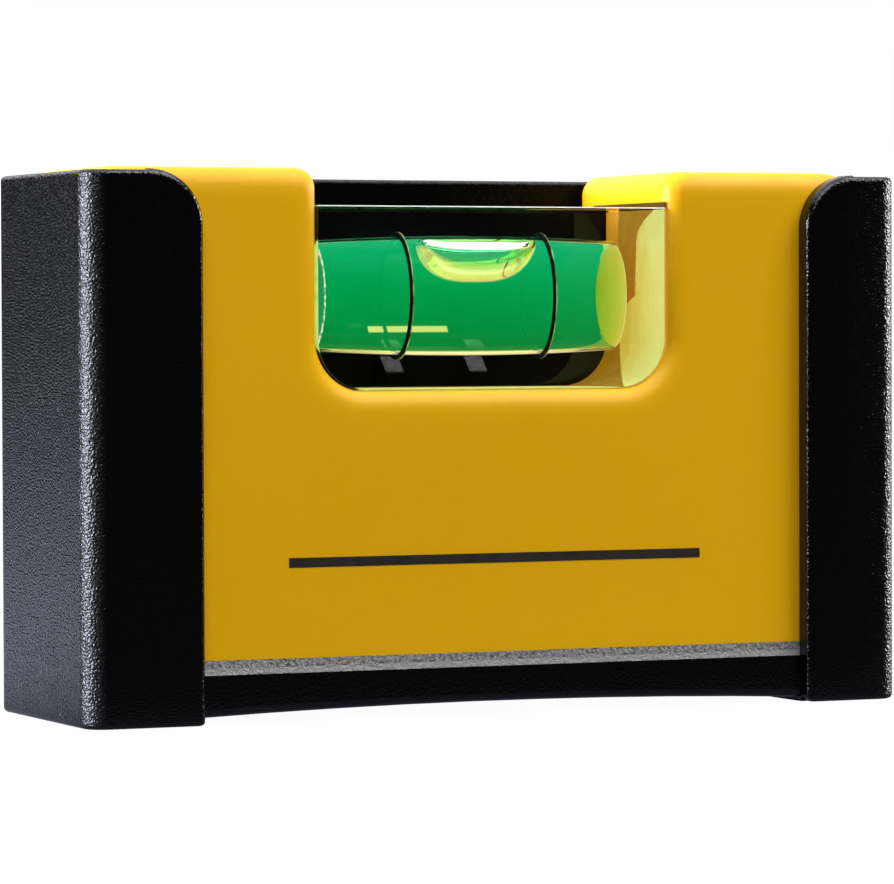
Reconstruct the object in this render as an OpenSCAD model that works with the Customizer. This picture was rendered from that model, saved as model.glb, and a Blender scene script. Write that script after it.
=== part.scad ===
// Pocket level: a powder-coated metal frame holds a moulded plastic core, a magnet
// system in its base and a clear block vial with a bubble that runs under a crowned barrel.
// X runs along the level, -Y is the front, Z is up, and the level stands on Z = 0.

/* [Frame] */
// Length of the frame, left to right
frame_l = 65.5; // [62:0.5:80]
// Depth of the frame, front to back
frame_d = 20; // [19:0.5:26]
// Height of the end walls and the back wall
frame_h = 39.7; // [39:0.1:50]
// Thickness of the end walls
wall_t = 1.5; // [1.2:0.1:2.2]
// Thickness of the back wall
back_t = 1.7; // [1.4:0.1:2.2]
// Radius of the upright outer edges
upright_r = 1.7; // [1:0.1:2]
// Rounding of the frame's upper and lower outer rims
rim_r = 0.4; // [0.2:0.02:0.5]

/* [Front flanges] */
// Thickness of the two front flanges
flange_t = 1.45; // [1.2:0.05:2]
// Width of the left flange
flange_left_w = 9; // [8.6:0.1:12]
// Width of the right flange
flange_right_w = 7.9; // [7.2:0.1:12]
// Radius of a flange's upper inner corner
flange_corner_r = 4.05; // [3:0.05:5]
// Height of the curved flange edge above the frame's top
flange_rise = 0.1; // [0.05:0.05:0.4]
// Radius of a flange's lower inner corner
flange_foot_r = 0.6; // [0.3:0.05:0.8]
// Rounding along a flange's free edge
flange_edge_r = 0.55; // [0.3:0.05:0.9]

/* [Base] */
// Thickness of the base
base_t = 3.5; // [3.2:0.05:5]
// Distance of the base's front lip behind the flanges
lip_recess = 1.2; // [0.8:0.05:1.4]
// Height of the arched relief under the base
relief_rise = 0.9; // [0.5:0.05:1.2]
// Radius of the arched relief
relief_r = 560; // [400:1:800]
// Place of the relief's highest point along the level
relief_x = -1; // [-3:0.1:3]
// Rounding of the relief's front edge
relief_edge_r = 0.6; // [0.3:0.05:0.8]

/* [Back ribs] */
// Depth of the ribs on the back wall
rib_d = 1.3; // [0.8:0.05:1.6]
// Width of a rib
rib_w = 1.45; // [1:0.05:2]
// Height of the ribs' sloped tops above the window's floor
rib_rise = 2.4; // [0.5:0.1:8]
// Distance between the two middle ribs
rib_pitch = 6.9; // [5:0.1:12]
// Distance of an outer rib from its end wall
rib_inset = 8; // [5:0.5:12]

/* [Magnet system] */
// Thickness of the steel yoke plate
plate_t = 1.05; // [0.8:0.05:1.5]
// Diameter of a magnet
magnet_d = 5; // [4:0.1:5.5]
// Thickness of a magnet
magnet_t = 3; // [2:0.1:3]
// Distance of a magnet's centre from its end wall
magnet_inset = 3.2; // [3:0.1:3.4]
// Diameter of the opening that shows a magnet underneath
magnet_eye_d = 4; // [2.5:0.1:4.4]

/* [Core] */
// Height of the core above the frame's top
core_proud = 0.3; // [0.2:0.05:1]
// Radius of the core's upper left corner
core_left_r = 1.3; // [1.2:0.1:4]
// Radius of the core's upper right corner
core_right_r = 4; // [3:0.1:5]
// Rounding of the core's front edges
core_edge_r = 1.1; // [0.6:0.1:1.2]
// Rounding of the core's back edges
core_back_r = 0.5; // [0.5:0.1:1.2]
// Thickness of the core's outer walls
core_wall_t = 2; // [1.6:0.1:2.4]
// Thickness of the stiffening webs inside the core
web_t = 1.5; // [1:0.1:2]
// Largest clear width between two webs
cell_w = 6; // [5:0.1:6.4]

/* [Window] */
// Place of the window's centre along the level
window_x = -0.2; // [-1:0.05:1]
// Clear width of the window
window_w = 28.3; // [28:0.1:32]
// Depth of the window's floor below the core's top
window_depth = 16.1; // [15:0.1:18]
// Radius of the window's lower corners
window_r = 3.7; // [2.5:0.1:5]
// Radius of the window's upper corners
window_top_r = 1.5; // [1.3:0.1:2.5]

/* [Vial] */
// Height of the clear block
block_h = 13.4; // [12.8:0.1:14.5]
// Depth of the clear block, front to back
block_d = 12.5; // [12.2:0.1:14]
// Distance of the block's front behind the core's front
block_recess = 0.5; // [0.2:0.05:1]
// Thickness of the adhesive between the block's ends and the core
glue_t = 0.1; // [0.05:0.05:0.3]
// Width and height of an adhesive patch
glue_patch = 8; // [5:0.5:9]
// Place of the barrel's highest point from the block's middle
barrel_offset = -0.35; // [-0.5:0.05:0.5]
// Height of the barrel's axis above the block's underside
barrel_rise = 6.85; // [6:0.05:7.5]
// Largest diameter of the barrel
barrel_d = 8.9; // [7.5:0.1:9]
// Radius of the barrel's crown along the level
crown_r = 205; // [100:5:400]
// Length of the barrel to the left of its highest point
barrel_left = 12.5; // [12.2:0.1:13]
// Length of the barrel to the right of its highest point
barrel_right = 11.9; // [11.6:0.1:12.6]
// Diameter of the plug that closes the barrel's right end
plug_d = 7.2; // [5:0.1:7.4]
// Distance between the two marking rings
ring_pitch = 11.6; // [10.5:0.1:13]
// Width of a marking ring
ring_w = 0.3; // [0.2:0.05:0.6]
// Depth of a marking ring in the barrel's wall
ring_t = 0.35; // [0.2:0.05:0.5]

/* [Bubble] */
// Length of the bubble
bubble_l = 10; // [8:0.1:10.4]
// Depth of the bubble under the crown
bubble_t = 3.3; // [2.4:0.1:3.6]
// Distance of the resting bubble to the right of the vial's centre
bubble_offset = 0.5; // [-1:0.05:1]
// Travel of the bubble to each side of the vial's centre
bubble_run = 6; // [4:0.1:6.2]

/* [Fits] */
// Clearance between the core and the frame
core_fit = 0.05; // [0.02:0.01:0.15]
// Clearance round a magnet
magnet_fit = 0.1; // [0.05:0.05:0.2]
// Clearance of the pieces sealed in the block
seal_fit = 0.02; // [0.01:0.01:0.05]
// Gap left between an adhesive patch and the core
glue_fit = 0.01; // [0.005:0.005:0.03]
// Gap between the bubble and what it runs past
bubble_fit = 0.2; // [0.15:0.05:0.3]

/* [Hidden] */

// Smoothness of ordinary rounds, and of the long shallow arcs
$fn = 180;
shallow_fn = 1440;
// How far a cut reaches past the surface it opens
cut = 1;

// Inside of the frame
inner_l = frame_l - 2 * wall_t;
inner_front = -frame_d / 2 + flange_t;
inner_back = frame_d / 2 - back_t;
left_edge_x = -frame_l / 2 + flange_left_w;
right_edge_x = frame_l / 2 - flange_right_w;

// Core, between the flanges and the ribs, on top of the yoke plate
core_l = inner_l - 2 * core_fit;
core_front = inner_front + core_fit;
core_back = inner_back - rib_d - core_fit;
core_z = base_t + plate_t;
core_top = frame_h + core_proud;
window_floor = core_top - window_depth;
rib_top = window_floor + rib_rise;

// Clear block in the window
block_l = window_w - 2 * glue_t;
block_front = core_front + block_recess;
block_back = block_front + block_d;

// Barrel in the block
barrel_x = window_x + barrel_offset;
barrel_y = (block_front + block_back) / 2;
barrel_z = window_floor + barrel_rise;
crown_z = barrel_z + barrel_d / 2 - crown_r;
plug_l = block_l / 2 - barrel_offset - barrel_right;
// Round underside of the bubble: its radius and its centre above the barrel's axis
meniscus_r = (pow(bubble_l / 2, 2) + pow(bubble_t, 2)) / (2 * bubble_t);
meniscus_z = barrel_d / 2 - bubble_t + meniscus_r;

// Magnets
magnet_x = inner_l / 2 - magnet_inset;
magnet_z = base_t - magnet_t;

// Flat outline with four rounded corners
module rounded_rect(l, w, r) {
    square([l - 2 * r, w], center = true);
    square([l, w - 2 * r], center = true);
    for (x = [-1, 1], y = [-1, 1])
        translate([x * (l / 2 - r), y * (w / 2 - r)])
            circle(r);
}

// Section of the material that rounding an edge takes away
module edge_section(r) {
    difference() {
        translate([-cut, -cut])
            square(r + cut);
        translate([r, r])
            circle(r);
    }
}

// Rounding cut along a straight edge of a face at Y = 0, starting at [x, z]
module straight_cut(x, z, upright, length, r) {
    translate([x, 0, z])
        rotate(upright ? [0, 0, 0] : [0, 90, 0])
            linear_extrude(length)
                edge_section(r);
}

// Rounding cut along an arc round [x, z] in a face at Y = 0, starting at angle a
module arc_cut(x, z, a, sweep, arc_r, r, hollow) {
    translate([x, 0, z])
        rotate([-90, 0, 0])
            rotate([0, 0, -a - sweep])
                rotate_extrude(angle = sweep)
                    intersection() {
                        translate([arc_r, 0])
                            mirror([hollow ? 0 : 1, 0])
                                edge_section(r);
                        translate([0, -2 * cut])
                            square([arc_r + r + 2 * cut, r + 4 * cut]);
                    }
}

// Rounding cuts round the frame's rim, for a face at Z = 0
module rim_cuts() {
    straight_x = frame_l / 2 - upright_r;
    straight_y = frame_d / 2 - upright_r;
    rotate([90, 0, 0])
        for (x = [0, 1], y = [0, 1])
            mirror([x, 0, 0])
                mirror([0, 0, y]) {
                    straight_cut(-frame_l / 2, 0, true, straight_y, rim_r);
                    arc_cut(-straight_x, straight_y, 90, 90, upright_r, rim_r, false);
                    straight_cut(-straight_x, frame_d / 2, false, straight_x, rim_r);
                }
}

// Walls with the pocket for the core and the open front between the flanges
module frame_walls() {
    open_l = frame_l - flange_left_w - flange_right_w + 2 * flange_corner_r;
    difference() {
        linear_extrude(frame_h)
            difference() {
                rounded_rect(frame_l, frame_d, upright_r);
                translate([-inner_l / 2, inner_front])
                    square([inner_l, inner_back - inner_front]);
                translate([left_edge_x - flange_corner_r, -frame_d / 2 - cut])
                    square([open_l, flange_t + 2 * cut]);
            }
        translate([0, 0, frame_h])
            mirror([0, 0, 1])
                rim_cuts();
    }
}

// Free part of a flange of width w at the left end, with its curved upper corner
module flange(w) {
    corner_x = -frame_l / 2 + w - flange_corner_r;
    corner_z = frame_h + flange_rise - flange_corner_r;
    translate([corner_x, -frame_d / 2, 0])
        difference() {
            translate([0, flange_t, 0])
                rotate([90, 0, 0])
                    linear_extrude(flange_t) {
                        translate([0, flange_foot_r])
                            square([flange_corner_r, corner_z - flange_foot_r]);
                        square([flange_corner_r - flange_foot_r, corner_z]);
                        translate([flange_corner_r - flange_foot_r, flange_foot_r])
                            circle(flange_foot_r);
                        intersection() {
                            translate([0, corner_z])
                                circle(flange_corner_r);
                            square([flange_corner_r, frame_h + flange_rise]);
                        }
                    }
            translate([flange_corner_r, 0, 0])
                mirror([1, 0, 0])
                    straight_cut(0, 0, true, corner_z, flange_edge_r);
            arc_cut(0, corner_z, 0, 90, flange_corner_r, flange_edge_r, false);
        }
}

// Upright rib on the back wall with a sloped top
module back_rib(x) {
    translate([x - rib_w / 2, 0, 0])
        rotate([90, 0, 90])
            linear_extrude(rib_w)
                polygon([
                    [inner_back - rib_d, core_z],
                    [inner_back, core_z],
                    [inner_back, rib_top],
                    [inner_back - rib_d, rib_top - rib_d]
                ]);
}

// Shallow arch that leaves the level standing on its two ends
module relief() {
    intersection() {
        translate([relief_x, frame_d, relief_rise - relief_r])
            rotate([90, 0, 0])
                cylinder(r = relief_r, h = 2 * frame_d, $fn = shallow_fn);
        translate([left_edge_x, -frame_d, -cut])
            cube([right_edge_x - left_edge_x, 2 * frame_d, relief_rise + 2 * cut]);
    }
}

// Rounding cut along the front edge of the relief
module relief_edge_cut() {
    start = acos((right_edge_x - relief_x) / relief_r);
    sweep = acos((left_edge_x - relief_x) / relief_r) - start;
    translate([0, -frame_d / 2 + lip_recess, 0])
        arc_cut(relief_x, relief_rise - relief_r, start, sweep, relief_r, relief_edge_r, true);
}

module frame() {
    lip_y = -frame_d / 2 + lip_recess;
    outer_rib_x = inner_l / 2 - rib_inset;
    color("#17181b")
        difference() {
            union() {
                frame_walls();
                flange(flange_left_w);
                mirror([1, 0, 0])
                    flange(flange_right_w);
                translate([-inner_l / 2, lip_y, 0])
                    cube([inner_l, inner_back - lip_y, base_t]);
                for (x = [-outer_rib_x, window_x - rib_pitch / 2, window_x + rib_pitch / 2, outer_rib_x])
                    back_rib(x);
            }
            rim_cuts();
            translate([0, inner_back, 0])
                straight_cut(-inner_l / 2, frame_h, false, inner_l, rim_r);
            relief();
            relief_edge_cut();
            for (side = [-1, 1])
                translate([side * magnet_x, 0, 0]) {
                    translate([0, 0, magnet_z])
                        cylinder(d = magnet_d + 2 * magnet_fit, h = magnet_t + cut);
                    translate([0, 0, -cut])
                        cylinder(d = magnet_eye_d, h = base_t);
                }
        }
}

// Half of the core's outline at the right end, with an upper corner of radius r
module core_half_outline(r) {
    translate([0, core_z])
        square([core_l / 2, core_top - r - core_z]);
    translate([0, core_z])
        square([core_l / 2 - r, core_top - core_z]);
    translate([core_l / 2 - r, core_top - r])
        circle(r);
}

// Outline of the core seen from the front
module core_outline() {
    difference() {
        union() {
            core_half_outline(core_right_r);
            mirror([1, 0])
                core_half_outline(core_left_r);
        }
        translate([window_x, 0])
            window_outline();
    }
}

// Window cut: straight walls, round lower corners and flared upper corners
module window_outline() {
    flare_z = core_top - window_top_r;
    translate([-window_w / 2, window_floor + window_r])
        square([window_w, core_top - window_floor]);
    translate([-window_w / 2 + window_r, window_floor])
        square([window_w - 2 * window_r, window_r + cut]);
    for (side = [-1, 1]) {
        translate([side * (window_w / 2 - window_r), window_floor + window_r])
            circle(window_r);
        difference() {
            translate([side * window_w / 2, flare_z])
                translate([side < 0 ? -window_top_r : 0, 0])
                    square([window_top_r, window_top_r + cut]);
            translate([side * (window_w / 2 + window_top_r), flare_z])
                circle(window_top_r);
        }
    }
}

// Rounding cuts along the right half of the core's edge, for a window wall at edge_x
module core_half_cuts(edge_x, corner_r, r) {
    top_l = core_l / 2 - corner_r - edge_x - window_top_r;
    wall_l = core_top - window_top_r - window_floor - window_r;
    arc_cut(core_l / 2 - corner_r, core_top - corner_r, 0, 90, corner_r, r, false);
    straight_cut(edge_x + window_top_r, core_top, false, top_l, r);
    arc_cut(edge_x + window_top_r, core_top - window_top_r, 90, 90, window_top_r, r, false);
    straight_cut(edge_x, window_floor + window_r, true, wall_l, r);
    arc_cut(edge_x - window_r, window_floor + window_r, -90, 90, window_r, r, true);
    straight_cut(0, window_floor, false, edge_x - window_r, r);
}

module core_edge_cuts(r) {
    core_half_cuts(window_w / 2 + window_x, core_right_r, r);
    mirror([1, 0, 0])
        core_half_cuts(window_w / 2 - window_x, core_left_r, r);
}

// Row of cells between webs, open at the core's back
module cell_row(x0, x1, z0, z1) {
    count = ceil((x1 - x0 + web_t) / (cell_w + web_t));
    width = (x1 - x0 - (count - 1) * web_t) / count;
    for (i = [0 : count - 1])
        translate([x0 + i * (width + web_t), core_front + core_wall_t, z0])
            cube([width, core_back - core_front - core_wall_t + cut, z1 - z0]);
}

module core() {
    lower_z = core_z + core_wall_t;
    lower_top = window_floor - core_wall_t;
    upper_z = lower_top + web_t;
    upper_top = core_top - core_wall_t;
    cell_end = core_l / 2 - core_wall_t;
    window_side = window_w / 2 + core_wall_t;
    color("#e0a90f")
        difference() {
            translate([0, core_back, 0])
                rotate([90, 0, 0])
                    linear_extrude(core_back - core_front)
                        core_outline();
            translate([0, core_front, 0])
                core_edge_cuts(core_edge_r);
            translate([0, core_back, 0])
                mirror([0, 1, 0])
                    core_edge_cuts(core_back_r);
            cell_row(-cell_end, cell_end, lower_z, lower_top);
            cell_row(-cell_end, window_x - window_side, upper_z, upper_top);
            cell_row(window_x + window_side, cell_end, upper_z, upper_top);
        }
}

// Steel plate that ties the two magnets together, its front edge showing under the core
module yoke_plate() {
    color("#b4b6b8")
        translate([-core_l / 2, core_front, base_t])
            cube([core_l, inner_back - core_fit - core_front, plate_t]);
}

module magnet(side) {
    color("#c9ccd0")
        translate([side * magnet_x, 0, magnet_z])
            cylinder(d = magnet_d, h = magnet_t);
}

module magnet_left() {
    magnet(-1);
}

module magnet_right() {
    magnet(1);
}

// Places a shape on the barrel's axis, its own Z turned along the level
module on_barrel_axis() {
    translate([barrel_x, barrel_y, barrel_z])
        rotate([0, 90, 0])
            children();
}

// Radius of the crowned barrel at a distance from its highest point
function barrel_radius(x) = barrel_d / 2 - crown_r + sqrt(pow(crown_r, 2) - pow(x, 2));

// Crowned barrel, smaller all round by gap
module barrel(gap) {
    on_barrel_axis()
        rotate_extrude()
            intersection() {
                translate([barrel_d / 2 - crown_r, 0])
                    circle(crown_r - gap, $fn = shallow_fn);
                translate([0, -barrel_left + gap])
                    square([barrel_d, barrel_left + barrel_right - 2 * gap]);
            }
}

// Marking ring at a distance x from the vial's centre, smaller all round by gap
module ring_band(x, gap) {
    inner_r = barrel_radius(ring_pitch / 2 - ring_w / 2);
    on_barrel_axis()
        rotate_extrude()
            translate([inner_r, x - ring_w / 2 + gap])
                square([ring_t - gap, ring_w - 2 * gap]);
}

// Plug at the right end of the barrel, smaller all round by gap
module plug(gap) {
    translate([barrel_x + barrel_right + gap, barrel_y, barrel_z])
        rotate([0, 90, 0])
            cylinder(d = plug_d - 2 * gap, h = plug_l - gap);
}

// Outline of the block: flat top, lower corners that follow the window
module block_outline() {
    translate([-block_l / 2, window_r])
        square([block_l, block_h - window_r]);
    translate([-block_l / 2 + window_r, 0])
        square([block_l - 2 * window_r, block_h]);
    for (side = [-1, 1])
        translate([side * (block_l / 2 - window_r), window_r])
            circle(window_r);
}

module vial_block() {
    color("#dfeee0", 0.35)
        difference() {
            translate([window_x, block_back, window_floor])
                rotate([90, 0, 0])
                    linear_extrude(block_d)
                        block_outline();
            barrel(0);
            for (side = [-1, 1])
                ring_band(side * ring_pitch / 2, 0);
            plug(0);
        }
}

module vial_plug() {
    color("#e6efd8")
        plug(seal_fit);
}

module ring_left() {
    color("#10231a")
        ring_band(-ring_pitch / 2, seal_fit);
}

module ring_right() {
    color("#10231a")
        ring_band(ring_pitch / 2, seal_fit);
}

// Liquid with the run that the bubble's travel keeps free
module vial_liquid() {
    run_l = 2 * bubble_run + bubble_l + 2 * bubble_fit;
    run_floor_r = crown_r - bubble_t - bubble_fit;
    color("#12a552", 0.8)
        difference() {
            barrel(seal_fit);
            difference() {
                translate([barrel_x - run_l / 2, barrel_y - barrel_d / 2, barrel_z])
                    cube([run_l, barrel_d, barrel_d]);
                translate([barrel_x, barrel_y + barrel_d, crown_z])
                    rotate([90, 0, 0])
                        cylinder(r = run_floor_r, h = 2 * barrel_d, $fn = shallow_fn);
            }
        }
}

// Bubble under the crown, turned about the crown's centre to where it rests
module bubble() {
    rest_turn = asin(bubble_offset / crown_r);
    color("#f2f6d8", 0.6)
        translate([barrel_x, barrel_y, crown_z])
            rotate([0, rest_turn, 0])
                translate([-barrel_x, -barrel_y, -crown_z])
                    intersection() {
                        barrel(bubble_fit);
                        translate([barrel_x, barrel_y + barrel_d, barrel_z + meniscus_z])
                            rotate([90, 0, 0])
                                cylinder(r = meniscus_r, h = 2 * barrel_d);
                    }
}

// Adhesive patch between an end of the block and the window's wall
module adhesive(side) {
    patch_y = block_front + (block_d - glue_patch) / 2;
    patch_z = window_floor + window_r;
    color("#e9e2b0", 0.7)
        translate([window_x, 0, 0])
            mirror([side < 0 ? 1 : 0, 0, 0])
                translate([block_l / 2, patch_y, patch_z])
                    cube([glue_t - glue_fit, glue_patch, glue_patch]);
}

module adhesive_left() {
    adhesive(-1);
}

module adhesive_right() {
    adhesive(1);
}

frame();
core();
yoke_plate();
magnet_left();
magnet_right();
vial_block();
vial_plug();
ring_left();
ring_right();
vial_liquid();
bubble();
adhesive_left();
adhesive_right();
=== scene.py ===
"""Looks of a pocket level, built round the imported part.

Lengths are in millimetres until MM turns them into metres. Materials work in metres.
"""

import math

import bmesh
import bpy
from mathutils import Matrix, Vector


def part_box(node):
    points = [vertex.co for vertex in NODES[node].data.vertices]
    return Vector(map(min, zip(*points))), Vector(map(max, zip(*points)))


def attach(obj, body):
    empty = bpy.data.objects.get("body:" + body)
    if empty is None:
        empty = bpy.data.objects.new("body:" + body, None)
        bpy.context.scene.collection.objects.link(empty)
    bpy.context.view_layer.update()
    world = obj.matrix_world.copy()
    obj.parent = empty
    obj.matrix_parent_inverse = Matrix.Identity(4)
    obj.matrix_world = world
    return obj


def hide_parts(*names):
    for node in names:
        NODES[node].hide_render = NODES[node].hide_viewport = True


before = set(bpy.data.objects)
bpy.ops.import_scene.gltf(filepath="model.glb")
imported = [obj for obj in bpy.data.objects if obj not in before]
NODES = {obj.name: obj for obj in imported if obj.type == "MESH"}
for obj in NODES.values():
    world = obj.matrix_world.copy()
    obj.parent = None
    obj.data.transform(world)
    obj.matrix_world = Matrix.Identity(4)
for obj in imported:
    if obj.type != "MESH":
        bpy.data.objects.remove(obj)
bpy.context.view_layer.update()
MM = 0.001

# The vial's sizes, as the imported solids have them
BLOCK_LOW, BLOCK_HIGH = (Vector(corner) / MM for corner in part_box("vial_block"))
RING_LEFT, RING_RIGHT = (
    (Vector(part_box(name)[0]) + Vector(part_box(name)[1])) / (2 * MM)
    for name in ("ring_left", "ring_right")
)
VIAL = (RING_LEFT + RING_RIGHT) / 2
LIQUID_LOW, LIQUID_HIGH = (Vector(corner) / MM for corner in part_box("vial_liquid"))
BUBBLE_LOW, BUBBLE_HIGH = (Vector(corner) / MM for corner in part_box("bubble"))
BUBBLE_X = (BUBBLE_LOW.x + BUBBLE_HIGH.x) / 2
BARREL_R = 4.45
BARREL_FLOOR, BARREL_TOP = VIAL.z - BARREL_R, VIAL.z + BARREL_R
CROWN_R = 205.0
WINDOW_R = 3.7

# The yellow core's front and a limit for what is drawn in front of its back
FACE_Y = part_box("core")[0][1] / MM
WALL_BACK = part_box("core")[1][1] / MM - 0.3

# Room between the liquid or the bubble and the barrel's wall
BARREL_GAP = 0.02
# How far the adhesive films stop short of the block's edges
FILM_INSET, LEFT_INSET = 0.12, 0.02

# Refraction indices
LIQUID_N, ACRYLIC_N = 1.43, 1.49

BLACK, WHITE = (0.0, 0.0, 0.0), (1.0, 1.0, 1.0)


# Nodes


def material(name):
    """A new material, its node tree and its main shader."""
    made = bpy.data.materials.new(name)
    made.use_nodes = True
    tree = made.node_tree
    return made, tree, tree.nodes["Principled BSDF"]


def put(tree, socket, value):
    """A link or a plain value on a socket."""
    if isinstance(value, bpy.types.NodeSocket):
        tree.links.new(value, socket)
    else:
        socket.default_value = value


def give(tree, node, inputs):
    """Links or plain values on a node's inputs, by name."""
    for key, value in inputs.items():
        put(tree, node.inputs[key], value)


def add(tree, kind, inputs=None, **settings):
    """A new node with its settings and inputs."""
    made = tree.nodes.new(kind)
    for key, value in settings.items():
        setattr(made, key, value)
    give(tree, made, inputs or {})
    return made


def place(tree):
    """Position on the object."""
    return add(tree, "ShaderNodeTexCoord").outputs["Object"]


def axes(tree, vector):
    """X, Y and Z of a vector."""
    split = add(tree, "ShaderNodeSeparateXYZ", {"Vector": vector})
    return split.outputs["X"], split.outputs["Y"], split.outputs["Z"]


def noise(tree, scale, detail=2.0, roughness=0.5, distortion=0.0):
    """Noise fixed to the object."""
    inputs = {
        "Vector": place(tree),
        "Scale": scale,
        "Detail": detail,
        "Roughness": roughness,
        "Distortion": distortion,
    }
    return add(tree, "ShaderNodeTexNoise", inputs).outputs["Fac"]


def ramp(tree, value, low, high, to_low, to_high):
    """A range of values brought to another range and held at its ends."""
    inputs = {"Value": value, "From Min": low, "From Max": high, "To Min": to_low, "To Max": to_high}
    return add(tree, "ShaderNodeMapRange", inputs).outputs["Result"]


def fade(tree, value, start, end):
    """Mask that goes from 0 at the start to 1 at the end."""
    return ramp(tree, value, start, end, 0.0, 1.0)


def between(tree, mask, a, b):
    """a where the mask is 0, b where it is 1."""
    return ramp(tree, mask, 0.0, 1.0, a, b)


def patchy(tree, scale, detail, low, high, roughness=0.5):
    """Noise spread from low to high."""
    return ramp(tree, noise(tree, scale, detail, roughness), 0.3, 0.7, low, high)


def math_node(tree, operation, a, b=0.0):
    """Sum, product or the like of two values."""
    made = add(tree, "ShaderNodeMath", operation=operation)
    put(tree, made.inputs[0], a)
    put(tree, made.inputs[1], b)
    return made.outputs[0]


def plus(tree, a, b):
    return math_node(tree, "ADD", a, b)


def times(tree, first, *others):
    for other in others:
        first = math_node(tree, "MULTIPLY", first, other)
    return first


def either(tree, a, b):
    """The larger of two masks."""
    return math_node(tree, "MAXIMUM", a, b)


def distance_to(tree, value, middle):
    return math_node(tree, "ABSOLUTE", math_node(tree, "SUBTRACT", value, middle))


def stripe(tree, value, middle, half):
    """1 within half of the middle, 0 outside, with a soft edge."""
    edge = 0.00008
    return ramp(tree, distance_to(tree, value, middle), half, half + edge, 1.0, 0.0)


def from_axis(tree):
    """Distance from the vial's axis."""
    _, y, z = axes(tree, place(tree))
    y = math_node(tree, "SUBTRACT", y, VIAL.y * MM)
    z = math_node(tree, "SUBTRACT", z, VIAL.z * MM)
    return math_node(tree, "SQRT", plus(tree, times(tree, y, y), times(tree, z, z)))


def blend_colour(tree, factor, a, b):
    """Colour a where the factor is 0, b where it is 1."""
    made = add(tree, "ShaderNodeMix", data_type="RGBA")
    put(tree, made.inputs[0], factor)
    put(tree, made.inputs[6], (*a, 1.0) if isinstance(a, tuple) else a)
    put(tree, made.inputs[7], (*b, 1.0) if isinstance(b, tuple) else b)
    return made.outputs[2]


def mottled(tree, scale, detail, a, b):
    """Colour that drifts between two shades."""
    return blend_colour(tree, noise(tree, scale, detail), a, b)


def bump(tree, height, strength, distance, normal=None):
    """Normal with a fine relief, on the plain normal or on another one."""
    inputs = {"Height": height, "Strength": strength, "Distance": distance}
    if normal:
        inputs["Normal"] = normal
    return add(tree, "ShaderNodeBump", inputs).outputs["Normal"]


# Materials


def black_coat():
    """Glossy powder coat with a fine grain that breaks up its highlights, matt inside the frame."""
    left_from, left_full = -0.0311, -0.0318
    right_from, right_full = 0.027, 0.0324
    front_from, front_full = -0.0082, -0.009
    room_half_x, room_half_y = 0.0313, 0.00835
    rib_y, rib_half = 0.00765, 0.0005
    made, tree, skin = material("black_coat")
    x, y, _ = axes(tree, place(tree))
    left = fade(tree, x, left_from, left_full)
    end = either(tree, left, fade(tree, x, right_from, right_full))
    front = fade(tree, y, front_from, front_full)
    corner, left_corner = times(tree, end, front), times(tree, left, front)
    rough = plus(tree, patchy(tree, 3000, 2.0, 0.12, 0.18), between(tree, corner, 0.0, 0.09))
    strength = plus(tree, between(tree, end, 0.36, 0.74), between(tree, corner, 0.0, 0.14))
    grain = noise(tree, 6200, 0.5, distortion=0.15)
    room = times(tree, stripe(tree, x, 0.0, room_half_x), stripe(tree, y, 0.0, room_half_y))
    matt = math_node(tree, "SUBTRACT", room, stripe(tree, y, rib_y, rib_half))
    give(
        tree,
        skin,
        {
            "Base Color": mottled(tree, 2400, 3.0, (0.0006, 0.0006, 0.0007), (0.0018, 0.0018, 0.002)),
            "Roughness": plus(tree, rough, between(tree, left_corner, 0.0, 0.11)),
            "Normal": bump(tree, grain, strength, 0.0001),
            "Specular IOR Level": between(tree, matt, 0.35, 0.06),
        },
    )
    return made


def yellow_plastic():
    """Satin moulded plastic that lets some light in. Its upper edges are shaded as wider rounds."""
    soft_from, soft_full, soft_radius = 0.009, 0.014, 0.0022
    made, tree, skin = material("yellow_plastic")
    _, _, height = axes(tree, place(tree))
    reach = ramp(tree, height, soft_from, soft_full, 0.0, soft_radius)
    soft = add(tree, "ShaderNodeBevel", {"Radius": reach}, samples=8).outputs["Normal"]
    give(
        tree,
        skin,
        {
            "Base Color": mottled(tree, 45, 3.0, (0.76, 0.398, 0.003), (0.8, 0.428, 0.004)),
            "Roughness": patchy(tree, 260, 3.0, 0.3, 0.4),
            "Normal": bump(tree, noise(tree, 1900), 0.05, 0.00005, soft),
            "Specular IOR Level": 0.22,
            "Subsurface Weight": 0.2,
            "Subsurface Scale": 1.0,
            "Subsurface Radius": (0.0016, 0.0012, 0.0002),
        },
    )
    return made


def plate_steel():
    """Sheared edge of steel sheet: torn upper part, smoother lower part."""
    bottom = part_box("yoke_plate")[0][2]
    torn_from, torn_full = bottom + 0.00038, bottom + 0.00048
    made, tree, skin = material("plate_steel")
    _, _, height = axes(tree, place(tree))
    grain = fade(tree, noise(tree, 3400, 4.0, 0.75), 0.32, 0.68)
    rough = blend_colour(tree, grain, (0.02, 0.019, 0.018), (0.53, 0.51, 0.5))
    coarse = noise(tree, 1300, 3.0, 0.6)
    smooth = blend_colour(tree, coarse, (0.34, 0.34, 0.34), (0.48, 0.48, 0.48))
    give(
        tree,
        skin,
        {
            "Base Color": blend_colour(tree, fade(tree, height, torn_from, torn_full), smooth, rough),
            "Roughness": ramp(tree, grain, 0.3, 0.7, 0.45, 0.7),
            "Normal": bump(tree, grain, 0.7, 0.0001),
            "Metallic": 0.6,
        },
    )
    return made


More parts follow.
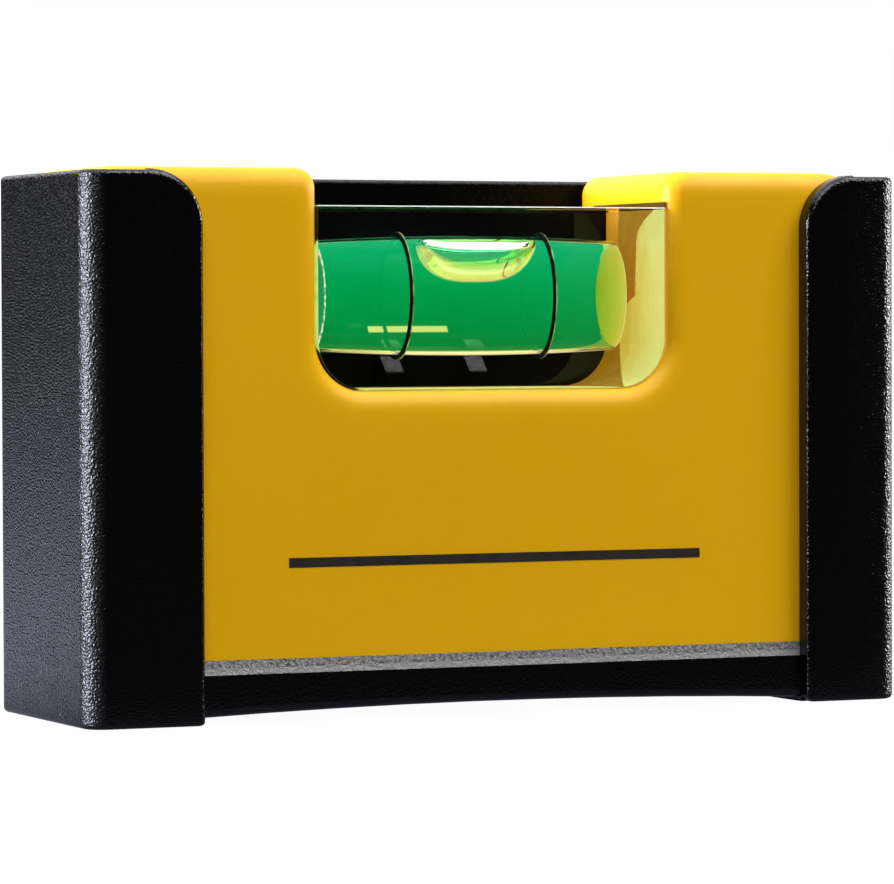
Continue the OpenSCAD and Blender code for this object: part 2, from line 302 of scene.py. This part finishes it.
def magnet_nickel():
    """Nickel plating with fine wear."""
    made, tree, skin = material("magnet_nickel")
    give(
        tree,
        skin,
        {
            "Base Color": mottled(tree, 700, 4.0, (0.55, 0.54, 0.51), (0.68, 0.67, 0.64)),
            "Roughness": patchy(tree, 1500, 4.0, 0.16, 0.36),
            "Normal": bump(tree, noise(tree, 2400), 0.1, 0.00004),
            "Metallic": 1.0,
        },
    )
    return made


def clear_acrylic():
    """Polished clear block with faint uneven gloss."""
    made, tree, skin = material("clear_acrylic")
    give(
        tree,
        skin,
        {
            "Base Color": (0.985, 0.99, 0.98, 1.0),
            "IOR": ACRYLIC_N,
            "Transmission Weight": 1.0,
            "Specular Tint": (0.4, 0.4, 0.4, 1.0),
            "Roughness": ramp(tree, noise(tree, 160, 3.0), 0.45, 0.8, 0.0, 0.004),
        },
    )
    return made


def frosted_edge():
    """Broken edge of the block, a little rough."""
    made, tree, skin = material("frosted_edge")
    give(
        tree,
        skin,
        {
            "Base Color": mottled(tree, 1600, 4.0, (0.75, 0.76, 0.74), (0.95, 0.95, 0.93)),
            "Roughness": patchy(tree, 2600, 3.0, 0.3, 0.6),
            "IOR": ACRYLIC_N,
            "Transmission Weight": 0.35,
        },
    )
    return made


def see_through(name, ior, colour):
    """Smooth refracting surface between two media. ior is the inner index over the outer one."""
    made, tree, skin = material(name)
    give(
        tree,
        skin,
        {"Base Color": (*colour, 1.0), "IOR": ior, "Transmission Weight": 1.0, "Roughness": 0.0},
    )
    return made, tree, skin


def green_liquid():
    """Liquid with a fluorescent dye. The far and the lower side of the barrel carry a painted green
    glow, seen through the liquid.

    A painted pale highlight runs along the barrel's floor, and a broken painted glint lies on its far
    side.
    """
    glint_x, glint_half_x, glint_z, glint_half_z = -0.0044, 0.0032, 0.02806, 0.0002
    glint_break_x, glint_break_half = -0.00625, 0.00012
    made, tree, skin = see_through("green_liquid", LIQUID_N / ACRYLIC_N, (0.98, 1.0, 0.98))
    x, depth, height = axes(tree, place(tree))
    # Painted green glow on the far and lower side, brighter towards the top
    up = fade(tree, height, BARREL_FLOOR * MM, BARREL_TOP * MM)
    painted_glow_rise = plus(tree, up, patchy(tree, 240, 2.0, -0.05, 0.05))
    colour = blend_colour(tree, painted_glow_rise, (0.0, 0.205, 0.032), (0.0, 0.45, 0.2))
    far = fade(tree, depth, (VIAL.y - 0.8) * MM, (VIAL.y + 0.8) * MM)
    low = ramp(tree, height, (VIAL.z + 1.0) * MM, (VIAL.z - 2.0) * MM, 0.0, 0.06)
    film = blend_colour(tree, either(tree, far, low), BLACK, colour)
    # Painted pale highlight along the barrel's floor
    rim = fade(tree, height, (BARREL_FLOOR + 0.42) * MM, (BARREL_FLOOR + 0.2) * MM)
    rim = times(tree, rim, fade(tree, depth, (VIAL.y + 0.3) * MM, VIAL.y * MM))
    film = blend_colour(tree, rim, film, (0.42, 0.36, 0.27))
    # Painted glint: a broken band of reflected light on the far side
    painted_glint = times(tree, far, stripe(tree, height, glint_z, glint_half_z), stripe(tree, x, glint_x, glint_half_x))
    painted_glint = times(tree, painted_glint, math_node(tree, "SUBTRACT", 1.0, stripe(tree, x, glint_break_x, glint_break_half)))
    give(
        tree,
        skin,
        {"Emission Color": blend_colour(tree, painted_glint, film, (1.7, 0.82, 0.3)), "Emission Strength": 1.0},
    )
    inputs = {"Color": (0.1, 0.98, 0.6, 1.0), "Density": 150.0}
    dye = add(tree, "ShaderNodeVolumeAbsorption", inputs).outputs[0]
    put(tree, tree.nodes["Material Output"].inputs["Volume"], dye)
    return made


def bubble_air():
    """Surface of the bubble, with a painted pale glow where its underside curves up to the wall."""
    ends_from, ends_full = 0.0027, 0.0034
    made, tree, skin = see_through("bubble_air", 1.0 / LIQUID_N, WHITE)
    _, facing_y, facing_z = axes(tree, add(tree, "ShaderNodeNewGeometry").outputs["Normal"])
    x, depth, _ = axes(tree, place(tree))
    off = distance_to(tree, x, BUBBLE_X * MM)
    ends = either(tree, fade(tree, off, ends_from, ends_full), fade(tree, facing_y, -0.3, -0.1))
    # Colour of the painted glow, changed towards the bubble's ends
    glow = mottled(tree, 700, 2.0, (1.28, 0.11, 0.13), (1.42, 0.17, 0.2))
    glow = blend_colour(tree, ends, glow, (1.05, 0.52, 0.18))
    # Painted highlight band where the near underside curves up to the wall
    rim = times(tree, fade(tree, facing_z, 0.05, -0.35), fade(tree, facing_y, -0.78, -0.62))
    rim = times(tree, rim, fade(tree, depth, (VIAL.y + 0.3) * MM, VIAL.y * MM))
    give(
        tree,
        skin,
        {"Emission Color": blend_colour(tree, rim, BLACK, glow), "Emission Strength": 0.65},
    )
    return made


def ring_black():
    """Dark marking ring with a painted pale highlight along its groove on the near side."""
    made, tree, skin = material("ring_black")
    across, depth, _ = axes(tree, add(tree, "ShaderNodeTexCoord").outputs["Generated"])
    # Painted pale highlight along the groove on the near side, uneven in strength
    wear = ramp(tree, noise(tree, 900, 3.0), 0.4, 0.6, 0.2, 1.0)
    painted_groove_light = times(tree, fade(tree, across, 0.62, 0.78), fade(tree, depth, 0.62, 0.5), wear)
    dark = mottled(tree, 1500, 2.0, (0.0006, 0.002, 0.001), (0.002, 0.005, 0.003))
    give(
        tree,
        skin,
        {
            "Base Color": blend_colour(tree, painted_groove_light, dark, (0.3, 0.4, 0.2)),
            "Emission Color": blend_colour(tree, painted_groove_light, BLACK, (0.25, 0.33, 0.14)),
            "Emission Strength": 0.8,
            "Specular IOR Level": 0.05,
            "Roughness": patchy(tree, 2500, 2.0, 0.5, 0.7),
        },
    )
    return made


def print_ink():
    """Printed black, slightly uneven."""
    made, tree, skin = material("print_ink")
    give(
        tree,
        skin,
        {
            "Base Color": mottled(tree, 1800, 3.0, (0.010, 0.008, 0.006), (0.02, 0.016, 0.012)),
            "Roughness": patchy(tree, 900, 2.0, 0.4, 0.55),
        },
    )
    return made


def lit_film(tree, skin, shade, darken, strength, roughness):
    """A film with a painted glow, in place of the light gathered in the block. darken is taken off its
    own colour.
    """
    give(
        tree,
        skin,
        {
            "Base Color": blend_colour(tree, darken, shade, BLACK),
            "Emission Color": shade,
            "Emission Strength": strength,
            "Roughness": roughness,
        },
    )


def clear_adhesive():
    """Cured adhesive with a painted glow: pale and cloudy towards the front, more yellow further in.
    """
    made, tree, skin = material("clear_adhesive")
    _, depth, _ = axes(tree, place(tree))
    inward = plus(tree, fade(tree, depth, -0.005, 0.002), patchy(tree, 330, 4.0, -0.15, 0.15))
    shade = blend_colour(tree, inward, (0.68, 0.68, 0.19), (0.6, 0.45, 0.05))
    # The adhesive's colour is a painted glow
    lit_film(tree, skin, shade, 0.65, 0.85, patchy(tree, 500, 2.0, 0.35, 0.6))
    return made


def wetted_wall():
    """The yellow wall behind the clear adhesive, with painted shade from the block and a faint painted
    glow.
    """
    made, tree, skin = material("wetted_wall")
    # Painted shade of the yellow wall, with a faint painted glow
    shade = mottled(tree, 300, 4.0, (0.38, 0.16, 0.004), (0.46, 0.21, 0.006))
    lit_film(tree, skin, shade, 0.0, 0.35, patchy(tree, 500, 2.0, 0.3, 0.5))
    return made


def end_face():
    """Ground end of the barrel, seen through the liquid, with a painted glow and a painted pale
    highlight round its near rim.
    """
    rim_from, rim_full = 0.00375, 0.0041
    made, tree, skin = material("barrel_end")
    _, depth, _ = axes(tree, place(tree))
    near = ramp(tree, depth, (VIAL.y - BARREL_R) * MM, (VIAL.y + BARREL_R) * MM, 1.0, 0.0)
    uneven = plus(tree, near, patchy(tree, 520, 5.0, -0.3, 0.3, 0.65))
    face = blend_colour(tree, uneven, (0.82, 0.38, 0.012), (0.68, 0.56, 0.06))
    # Painted pale highlight round the near rim; the face itself has a painted glow
    rim = times(tree, fade(tree, from_axis(tree), rim_from, rim_full), fade(tree, near, 0.45, 0.8))
    lit_film(tree, skin, blend_colour(tree, rim, face, (0.85, 0.9, 0.4)), 0.8, 0.85, 0.5)
    return made


def left_end():
    """Far end of the barrel: a painted glow of the dye behind a painted pale, speckled highlight round
    the rim.
    """
    rim_from, rim_full = 0.0034, 0.0037
    made, tree, skin = material("barrel_left_end")
    # Painted pale, speckled highlight round the rim, over the painted glow of the dye
    specks = ramp(tree, noise(tree, 2600, 3.0, 0.7), 0.45, 0.55, 0.1, 1.0)
    pale = times(tree, fade(tree, from_axis(tree), rim_from, rim_full), specks)
    lit_film(tree, skin, blend_colour(tree, pale, (0.01, 0.33, 0.1), (1.2, 1.2, 0.8)), 0.8, 0.9, 0.5)
    return made


def left_wet():
    """Adhesive beside the barrel's left end, with a painted glow that is paler towards the front."""
    pale_reach = 2.2
    made, tree, skin = material("left_wet")
    _, depth, _ = axes(tree, place(tree))
    inward = fade(tree, depth, BLOCK_LOW.y * MM, (BLOCK_LOW.y + pale_reach) * MM)
    uneven = plus(tree, inward, patchy(tree, 900, 3.0, -0.3, 0.3))
    # Colour of the painted glow, paler towards the front
    shade = blend_colour(tree, uneven, (0.62, 0.78, 0.18), (0.14, 0.42, 0.07))
    lit_film(tree, skin, shade, 0.8, 0.85, 0.5)
    return made


def shaded_gap():
    """Painted shade: a dark brown sheet between the block and the window's wall."""
    made, tree, skin = material("shaded_gap")
    give(
        tree,
        skin,
        {
            # Painted shade: dark brown
            "Base Color": mottled(tree, 400, 4.0, (0.05, 0.023, 0.001), (0.1, 0.05, 0.003)),
            "Roughness": patchy(tree, 700, 2.0, 0.4, 0.7),
            "Specular IOR Level": 0.1,
        },
    )
    return made


def stage_white(name, seen, lit):
    """Pale stage: white to the camera, with its own light on the object, more towards the back."""
    front_y, lit_y, fall_from, fall_to = -0.025, 0.055, 0.08, 0.45
    made, tree, skin = material(name)
    _, depth, _ = axes(tree, place(tree))
    glow = ramp(tree, depth, front_y, lit_y, 0.01, lit)
    glow = times(tree, glow, ramp(tree, depth, fall_from, fall_to, 1.0, 0.3))
    camera_ray = add(tree, "ShaderNodeLightPath").outputs["Is Camera Ray"]
    give(
        tree,
        skin,
        {
            "Base Color": (0.02, 0.02, 0.02, 1.0),
            "Roughness": 0.9,
            "Specular IOR Level": 0.0,
            "Emission Color": blend_colour(tree, camera_ray, (0.87, 0.9, 1.16), WHITE),
            "Emission Strength": between(tree, camera_ray, glow, seen),
        },
    )
    return made


COAT = black_coat()
YELLOW = yellow_plastic()
STEEL = plate_steel()
NICKEL = magnet_nickel()
ACRYLIC = clear_acrylic()
FROSTED = frosted_edge()
PLUG = see_through("clear_plug", 1.01, (0.97, 0.99, 0.9))[0]
RING = ring_black()
INK = print_ink()
ADHESIVE = clear_adhesive()
WETTED = wetted_wall()
LIQUID = green_liquid()
BARREL_END = end_face()
LEFT_END = left_end()
LEFT_WET = left_wet()
SHADED = shaded_gap()
AIR = bubble_air()


# Pieces


def dress(node, skin):
    """A CAD node keeps its mesh and gets a better material."""
    data = NODES[node].data
    data.materials.clear()
    data.materials.append(skin)


def piece(name, mesh, skins, body, slot, *replaced, smooth=True):
    """A new mesh piece on a body, from a bmesh in millimetres."""
    bmesh.ops.scale(mesh, vec=(MM, MM, MM), verts=mesh.verts)
    bmesh.ops.recalc_face_normals(mesh, faces=mesh.faces)
    data = bpy.data.meshes.new(name)
    for face in mesh.faces:
        face.smooth = smooth
    mesh.to_mesh(data)
    mesh.free()
    for skin in skins:
        data.materials.append(skin)
    made = bpy.data.objects.new(name, data)
    bpy.context.scene.collection.objects.link(made)
    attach(made, body)
    if replaced:
        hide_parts(*replaced)
    return made


def join_loops(mesh, loops, material_index=0):
    """Side faces between each loop of vertices and the next."""
    for a, b in zip(loops, loops[1:]):
        count = len(a)
        for i in range(count):
            j = (i + 1) % count
            mesh.faces.new((a[i], a[j], b[j], b[i])).material_index = material_index


def close_loops(mesh, loops, first_index=0, last_index=0):
    """Faces that close the first and the last loop."""
    mesh.faces.new(loops[0]).material_index = first_index
    mesh.faces.new(loops[-1]).material_index = last_index


def add_prism(mesh, outline, y0, y1, material_index=0):
    """Solid from an outline of (x, z) points, between two planes across Y."""
    loops = [[mesh.verts.new((x, y, z)) for x, z in outline] for y in (y0, y1)]
    join_loops(mesh, loops, material_index)
    close_loops(mesh, loops, material_index, material_index)


def rectangle(x0, x1, z0, z1):
    return [(x0, z0), (x1, z0), (x1, z1), (x0, z1)]


def arc(cx, cz, r, start, end, steps):
    """Points on an arc, angles in degrees."""
    for i in range(steps + 1):
        a = math.radians(start + (end - start) * i / steps)
        yield cx + r * math.cos(a), cz + r * math.sin(a)


def block_piece():
    """Clear block with round lower corners and lightly broken upper edges."""
    edge_break, tiny, arc_steps = 0.08, 0.001, 14
    x0, x1, z0, z1 = BLOCK_LOW.x, BLOCK_HIGH.x, BLOCK_LOW.z, BLOCK_HIGH.z
    outline = [(x0, z1)]
    outline += arc(x0 + WINDOW_R, z0 + WINDOW_R, WINDOW_R, 180, 270, arc_steps)
    outline += arc(x1 - WINDOW_R, z0 + WINDOW_R, WINDOW_R, 270, 360, arc_steps)
    outline.append((x1, z1))
    mesh = bmesh.new()
    add_prism(mesh, outline, BLOCK_LOW.y, BLOCK_HIGH.y)
    rim = [e for e in mesh.edges if all(abs(v.co.z - z1) < tiny for v in e.verts)]
    bmesh.ops.bevel(mesh, geom=rim, offset=edge_break, segments=2, profile=0.5, affect="EDGES")
    for face in mesh.faces:
        middle = face.calc_center_median()
        upper = z1 - edge_break < middle.z < z1 - tiny
        if upper and tiny < middle.y - BLOCK_LOW.y < edge_break:
            face.material_index = 1
    skins = [ACRYLIC, FROSTED]
    made = piece("vial_block_clear", mesh, skins, "level", "clear_acrylic", "vial_block")
    made.data.set_sharp_from_angle(angle=math.radians(20))


def barrel_radius(x):
    """Radius of the crowned barrel at a distance from its highest point."""
    return BARREL_R - CROWN_R + math.sqrt(CROWN_R**2 - x**2)


def liquid_piece():
    """Liquid that fills the barrel. Its flat ends have materials of their own."""
    corner, steps, sides = 0.1, 48, 128
    left, right = LIQUID_LOW.x - VIAL.x, LIQUID_HIGH.x - VIAL.x
    stations = [(left, barrel_radius(left) - BARREL_GAP - corner)]
    for step in range(steps + 1):
        x = left + corner + (right - left - 2 * corner) * step / steps
        stations.append((x, barrel_radius(x) - BARREL_GAP))
    stations.append((right, barrel_radius(right) - BARREL_GAP - corner))
    mesh = bmesh.new()
    loops = []
    for x, r in stations:
        turns = [2 * math.pi * i / sides for i in range(sides)]
        spots = [(VIAL.x + x, VIAL.y + r * math.cos(a), VIAL.z + r * math.sin(a)) for a in turns]
        loops.append([mesh.verts.new(spot) for spot in spots])
    join_loops(mesh, loops)
    close_loops(mesh, loops, 2, 1)
    skins = [LIQUID, BARREL_END, LEFT_END]
    made = piece("liquid_fill", mesh, skins, "level", "green_liquid", "vial_liquid")
    made.data.set_sharp_from_angle(angle=math.radians(30))


def outside_bubble(x, y, z):
    """Rough signed distance from the bubble's surface, for a place measured from the barrel's axis."""
    half_length, half_width, depth = 4.78, 3.69, 3.4
    wall = math.hypot(y, z) - (barrel_radius(x) - BARREL_GAP)
    sag = max(BARREL_R - z, 0.0) / depth
    across, down = abs(x) / half_length, sag + (y / half_width) ** 2
    under = ((across**2.8 + down**2.2) ** 0.4 - 1) * depth
    # The underside runs smoothly into the wall, over a shorter way near the crown
    ease = 0.25 + 0.75 * min(sag * 1.8, 1.0)
    near = max(ease - abs(wall - under), 0.0) / ease
    return max(wall, under) + near * near * ease / 4


def bubble_reach(start, direction):
    """How far the bubble's surface is from a point inside it."""
    low, high, halvings = 0.0, 7.0, 40
    for _ in range(halvings):
        half_way = (low + high) / 2
        if outside_bubble(*(s + d * half_way for s, d in zip(start, direction))) > 0:
            high = half_way
        else:
            low = half_way
    return low


def bubble_piece():
    """Air under the crown: a round underside that runs smoothly into the barrel's wall."""
    rows, sides = 48, 96
    shift, heart_depth = 0.08, 1.3
    heart = Vector((0.0, 0.0, BARREL_R - heart_depth))
    middle = Vector((BUBBLE_X + shift, VIAL.y, VIAL.z))
    mesh = bmesh.new()
    rings = []
    for row in range(rows + 1):
        tilt = math.pi * row / rows
        ring = []
        for i in range(1 if row in (0, rows) else sides):
            turn = 2 * math.pi * i / sides
            flat = math.sin(tilt)
            ray = Vector((flat * math.cos(turn), flat * math.sin(turn), math.cos(tilt)))
            ring.append(mesh.verts.new(middle + heart + ray * bubble_reach(heart, ray)))
        rings.append(ring)
    for a, b in zip(rings, rings[1:]):
        for i in range(sides):
            j = (i + 1) % sides
            corners = [a[i % len(a)], a[j % len(a)], b[j % len(b)], b[i % len(b)]]
            mesh.faces.new(list(dict.fromkeys(corners)))
    piece("bubble_air_pocket", mesh, [AIR], "bubble", "bubble_air", "bubble")


def end_profile(low, high):
    """Distance in from the block's end and height, down the end and round its lower corner."""
    wall_steps, arc_steps = 24, 20
    bend = BLOCK_LOW.z + WINDOW_R
    points = [(0.0, high + (bend - high) * i / wall_steps) for i in range(wall_steps + 1)]
    points += arc(WINDOW_R, bend, WINDOW_R, 180, 262, arc_steps)
    return [(across, z) for across, z in points if z >= low]


def end_film(mesh, side, depths, inner, outer, material_index, low=BLOCK_LOW.z, high=None):
    """Closed film that wets an end of the block.

    depths gives its front and back at a place. inner and outer are how far it reaches each way.
    """
    end = BLOCK_HIGH.x if side > 0 else BLOCK_LOW.x
    bend = BLOCK_LOW.z + WINDOW_R
    loops = []
    for across, z in end_profile(low, high or BLOCK_HIGH.z - FILM_INSET):
        if z < bend:
            nx, nz = (across - WINDOW_R) / WINDOW_R, (z - bend) / WINDOW_R
        else:
            nx, nz = -1.0, 0.0
        front, back = depths(across, z)
        loop = []
        for reach, y in ((-inner, front), (-inner, back), (outer, back), (outer, front)):
            loop.append(mesh.verts.new((end - side * (across + nx * reach), y, z + nz * reach)))
        loops.append(loop)
    join_loops(mesh, loops, material_index)
    close_loops(mesh, loops, material_index, material_index)


def pale_depth(across, z):
    """Front and wavy back limit of the cloudy adhesive, which spreads round the lower corner."""
    top, knee, spread = BLOCK_HIGH.z, BLOCK_HIGH.z - 2.7, BLOCK_HIGH.z - 6.6
    at_top, at_knee, at_spread, at_corner = 2.2, 7.7, 8.0, 12.2
    lip_reach, lip_slope = 3.45, 0.283
    front = BLOCK_LOW.y + FILM_INSET
    if z > knee:
        rise = (z - knee) / (top - knee)
        back = at_top + (at_knee - at_top) * (1 - rise**2.2)
    elif z > spread:
        back = at_knee + (at_spread - at_knee) * (knee - z) / (knee - spread)
    else:
        back = at_spread + (at_corner - at_spread) * (1 - math.exp((z - spread) / 0.7))
    back += 0.1 * math.sin(7.1 * z) + 0.06 * math.sin(17.3 * z + 1.0)
    back = min(back, (lip_reach - across) / lip_slope)
    return front, max(BLOCK_LOW.y + back, front + 0.05)


def wetted_depth(across, z):
    """Front and back limit of the film on the wall behind the cloudy adhesive."""
    return BLOCK_LOW.y + FILM_INSET, WALL_BACK


def open_front(z):
    """Front limit of the left film, which leaves the barrel's end clear."""
    opening, half_height = 2.2, BARREL_R - 0.3
    curve = max(1 - ((z - VIAL.z) / half_height) ** 2, 0.0)
    return BLOCK_LOW.y + LEFT_INSET + opening * curve


def left_depth(across, z):
    """Front and back limit of the shaded film on the block's left end."""
    return open_front(z), BLOCK_HIGH.y - FILM_INSET


def left_pale_depth(across, z):
    """Front and back limit of the pale film beside the barrel's left end."""
    return BLOCK_LOW.y + LEFT_INSET, open_front(z)


ADHESIVE_SKINS = [ADHESIVE, WETTED, SHADED, LEFT_WET]
CLOUDY_I, WETTED_I, SHADED_I, LEFT_WET_I = range(4)


def adhesive_right_piece():
    """Adhesive on the block's right end, with a dark strip of painted shade along its top edge."""
    mesh = bmesh.new()
    end_film(mesh, 1, pale_depth, 0.06, 0.085, CLOUDY_I)
    end_film(mesh, 1, wetted_depth, 0.03, 0.08, WETTED_I)
    end, top = BLOCK_HIGH.x, BLOCK_HIGH.z
    # Dark strip of painted shade above the block's top edge
    strip = rectangle(end + 0.02, end + 0.08, top - 0.1, top + 0.42)
    add_prism(mesh, strip, BLOCK_LOW.y + 0.1, BLOCK_HIGH.y - FILM_INSET, SHADED_I)
    name, node = "adhesive_film_right", "adhesive_right"
    piece(name, mesh, ADHESIVE_SKINS, "level", "clear_adhesive", node, smooth=False)


def adhesive_left_piece():
    """Films on the block's left end: painted shade, and adhesive with a paler painted glow beside the
    barrel.
    """
    inner, outer, reach = 0.02, 0.03, BARREL_R - 0.5
    low, high = VIAL.z - reach, VIAL.z + reach
    mesh = bmesh.new()
    # Painted shade over the block's left end
    end_film(mesh, -1, left_depth, inner, outer, SHADED_I)
    end_film(mesh, -1, left_pale_depth, inner, outer, LEFT_WET_I, low, high)
    name, node = "adhesive_film_left", "adhesive_left"
    piece(name, mesh, ADHESIVE_SKINS, "level", "clear_adhesive", node, smooth=False)


def seat_piece():
    """Thin adhesive under the block, where it sits on the window's floor. It carries the adhesive's
    painted glow.
    """
    x0, x1 = BLOCK_LOW.x + WINDOW_R, BLOCK_HIGH.x - WINDOW_R
    z0, z1 = BLOCK_LOW.z - 0.02, BLOCK_LOW.z + 0.03
    mesh = bmesh.new()
    add_prism(mesh, rectangle(x0, x1, z0, z1), BLOCK_LOW.y + 0.4, BLOCK_HIGH.y - 0.3)
    piece("seat_film", mesh, [ADHESIVE], "level", "clear_adhesive", smooth=False)


def rule_piece():
    """Plain printed line on the face."""
    x0, x1, z0, z1, half_thickness = -16.8, 16.4, 11.1, 11.8, 0.02
    mesh = bmesh.new()
    add_prism(mesh, rectangle(x0, x1, z0, z1), FACE_Y - half_thickness, FACE_Y + half_thickness)
    piece("printed_rule", mesh, [INK], "level", "ring_black", smooth=False)


dress("frame", COAT)
dress("core", YELLOW)
dress("yoke_plate", STEEL)
dress("magnet_left", NICKEL)
dress("magnet_right", NICKEL)
dress("vial_plug", PLUG)
dress("ring_left", RING)
dress("ring_right", RING)
block_piece()
liquid_piece()
bubble_piece()
adhesive_left_piece()
adhesive_right_piece()
seat_piece()
rule_piece()


# Stage, lights and camera

STAGE_X, STAGE_FRONT, STAGE_BACK, STAGE_TOP = 3.0, -1.5, 1.2, 2.4
FLOOR_Z, BACKDROP_FOOT = -0.00002, -0.1


def sheet(name, corners, skin):
    """Flat sheet that belongs to the stage."""
    data = bpy.data.meshes.new(name)
    data.from_pydata(corners, [], [(0, 1, 2, 3)])
    data.materials.append(skin)
    made = bpy.data.objects.new(name, data)
    bpy.context.scene.collection.objects.link(made)


sheet(
    "floor",
    [
        (-STAGE_X, STAGE_FRONT, FLOOR_Z),
        (STAGE_X, STAGE_FRONT, FLOOR_Z),
        (STAGE_X, STAGE_BACK, FLOOR_Z),
        (-STAGE_X, STAGE_BACK, FLOOR_Z),
    ],
    stage_white("floor_white", 0.97, 0.95),
)
sheet(
    "backdrop",
    [
        (-STAGE_X, STAGE_BACK, BACKDROP_FOOT),
        (STAGE_X, STAGE_BACK, BACKDROP_FOOT),
        (STAGE_X, STAGE_BACK, STAGE_TOP),
        (-STAGE_X, STAGE_BACK, STAGE_TOP),
    ],
    stage_white("backdrop_white", 1.0, 0.02),
)


def softbox(name, spot, target, width, height, power, tint=WHITE):
    """Area light that faces its target."""
    data = bpy.data.lights.new(name, "AREA")
    data.shape = "RECTANGLE"
    data.size, data.size_y = width, height
    data.energy = power
    data.color = tint
    made = bpy.data.objects.new(name, data)
    made.location = spot
    made.rotation_euler = (Vector(target) - Vector(spot)).to_track_quat("-Z", "Y").to_euler()
    bpy.context.scene.collection.objects.link(made)


VIAL_AIM, PART_AIM = (0, 0, 0.03), (0, 0, 0.02)
softbox("light_top", (0.05, 0.08, 0.62), (0.03, 0.03, 0.03), 1.2, 0.8, 5.6)
softbox("light_back", (0.0, 0.85, 0.55), VIAL_AIM, 1.7, 0.7, 5.1)
softbox("light_key_middle", (-0.2, -0.55, 0.75), PART_AIM, 0.6, 0.6, 5.5)
softbox("light_key_right", (0.5, -0.45, 0.75), PART_AIM, 0.6, 0.6, 7.5)
softbox("light_left", (-0.62, 0.11, 0.085), PART_AIM, 0.3, 0.34, 17.0, (0.93, 0.94, 1.15))
softbox("light_right", (0.62, 0.07, 0.085), PART_AIM, 0.2, 0.34, 4.0)
bpy.context.scene.view_settings.view_transform = "Standard"

# White to the camera, nearly dark to the object
world = bpy.data.worlds.new("studio")
bpy.context.scene.world = world
world.use_nodes = True
air = world.node_tree
seen = add(air, "ShaderNodeLightPath").outputs["Is Camera Ray"]
give(
    air,
    air.nodes["Background"],
    {"Color": (*WHITE, 1.0), "Strength": between(air, seen, 0.01, 1.0)},
)

# Camera fitted to the edges in the photo
YAW, PITCH, ROLL = (math.radians(a) for a in (23.97, 1.435, -0.20))
EYE = Vector((-146.7, -328.8, 28.8)) * MM
FOCAL_PX, WIDTH_PX, SENSOR = 4789.0, 894.0, 36.0
ahead = Vector(
    (math.sin(YAW) * math.cos(PITCH), math.cos(YAW) * math.cos(PITCH), -math.sin(PITCH))
)
level_right = Vector((math.cos(YAW), -math.sin(YAW), 0.0))
level_up = level_right.cross(ahead)
right = level_right * math.cos(ROLL) + level_up * math.sin(ROLL)
up = level_up * math.cos(ROLL) - level_right * math.sin(ROLL)
camera_data = bpy.data.cameras.new("camera")
camera_data.sensor_width = SENSOR
camera_data.lens = SENSOR * FOCAL_PX / WIDTH_PX
camera = bpy.data.objects.new("camera", camera_data)
camera.matrix_world = Matrix(
    (
        (right.x, up.x, -ahead.x, EYE.x),
        (right.y, up.y, -ahead.y, EYE.y),
        (right.z, up.z, -ahead.z, EYE.z),
        (0, 0, 0, 1),
    )
)
bpy.context.scene.collection.objects.link(camera)
bpy.context.scene.camera = camera
